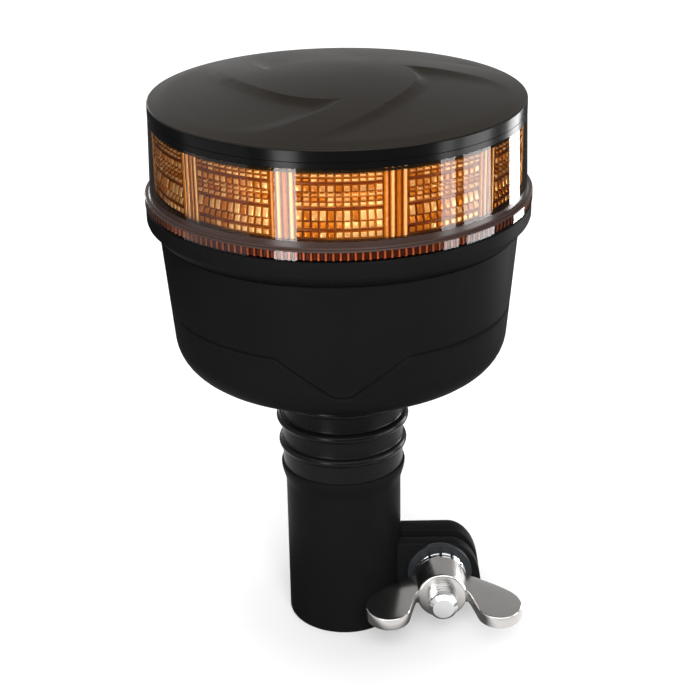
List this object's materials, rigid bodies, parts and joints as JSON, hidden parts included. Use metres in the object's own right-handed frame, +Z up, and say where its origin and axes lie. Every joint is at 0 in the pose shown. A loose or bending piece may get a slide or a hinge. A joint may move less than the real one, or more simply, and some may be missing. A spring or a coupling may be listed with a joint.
{
  "type": "led beacon",
  "caption": "Round amber warning beacon with a domed black cap and drum base, on a ribbed flexible neck and a split pole socket clamped by a wing nut.",
  "frame": {"origin": "middle of the pole socket's bottom edge, on the surface the beacon stands on", "axes": "+Z up along the pole and the drum, +X towards the clamp ears, -Y towards the wing nut"},
  "size_m": [0.1252, 0.1252, 0.1968],
  "materials": {
    "black_plastic": "satin moulded black",
    "amber_lens": "clear amber, glossy, prism panels",
    "black_rubber": "matt moulded rubber",
    "chrome": "bright plated",
    "bright_steel": "plated steel",
    "dark_washer": "dark, semi-gloss",
    "brass": "bare brass",
    "aluminium": "bare, machined",
    "circuit_board": "solder mask",
    "insulator": "moulded insulator",
    "dark_component": "moulded",
    "emitter": "phosphor under clear resin",
    "clear_optic": "clear moulded"
  },
  "bodies": {
    "socket": {"pole_socket": "black_plastic", "clamp_bolt": "bright_steel", "disc_washer": "dark_washer", "contact_block": "insulator", "contact_lid": "insulator", "ring_contact": "brass", "contact_spring": "bright_steel", "neck_lower": "black_rubber"},
    "nut_carrier": {"tooth_ring": "chrome"},
    "wing_nut": {"wing_nut": "chrome"},
    "plunger": {"centre_contact": "brass"},
    "neck_link": {"neck_middle": "black_rubber"},
    "head": {"neck_upper": "black_rubber", "neck_ring": "bright_steel", "neck_screws": "bright_steel", "base_housing": "black_plastic", "driver_board": "circuit_board", "board_screws": "bright_steel", "capacitors": "aluminium", "inductor": "dark_component", "regulator": "dark_component", "lens_gasket": "black_rubber", "lens_ring": "amber_lens", "led_carrier": "aluminium", "led_strip": "circuit_board", "led_emitters": "emitter", "tie_screws": "bright_steel", "cap_seal": "black_rubber", "top_cap": "black_plastic", "optic_01": "clear_optic", "optic_02": "clear_optic", "optic_03": "clear_optic", "optic_04": "clear_optic", "optic_05": "clear_optic", "optic_06": "clear_optic", "optic_07": "clear_optic", "optic_08": "clear_optic", "optic_09": "clear_optic", "optic_10": "clear_optic", "optic_11": "clear_optic"}
  },
  "joints": [
    {"name": "neck_bend_front", "type": "hinge", "parent": "socket", "child": "neck_link", "pos_m": [0, 0, 0.07], "axis": [1, 0, 0], "range_deg": [-7, 7], "stiffness_Nm_per_rad": 8},
    {"name": "neck_bend_side", "type": "hinge", "parent": "neck_link", "child": "head", "pos_m": [0, 0, 0.0794], "axis": [0, 1, 0], "range_deg": [-7, 7], "stiffness_Nm_per_rad": 8},
    {"name": "wing_nut_travel", "type": "slide", "parent": "socket", "child": "nut_carrier", "axis": [0, -1, 0], "range_m": [0, 0.006]},
    {"name": "wing_nut_spin", "type": "hinge", "parent": "nut_carrier", "child": "wing_nut", "pos_m": [0.0335, -0.0135, 0.018], "axis": [0, -1, 0], "range_deg": [0, 1440]},
    {"name": "contact_press", "type": "slide", "parent": "socket", "child": "plunger", "axis": [0, 0, 1], "range_m": [0, 0.002], "stiffness_N_per_m": 300, "deforming": ["contact_spring"]}
  ],
  "couplings": [
    {"joint": "wing_nut_travel", "follows": "wing_nut_spin", "m_per_rad": 0.00023873}
  ]
}
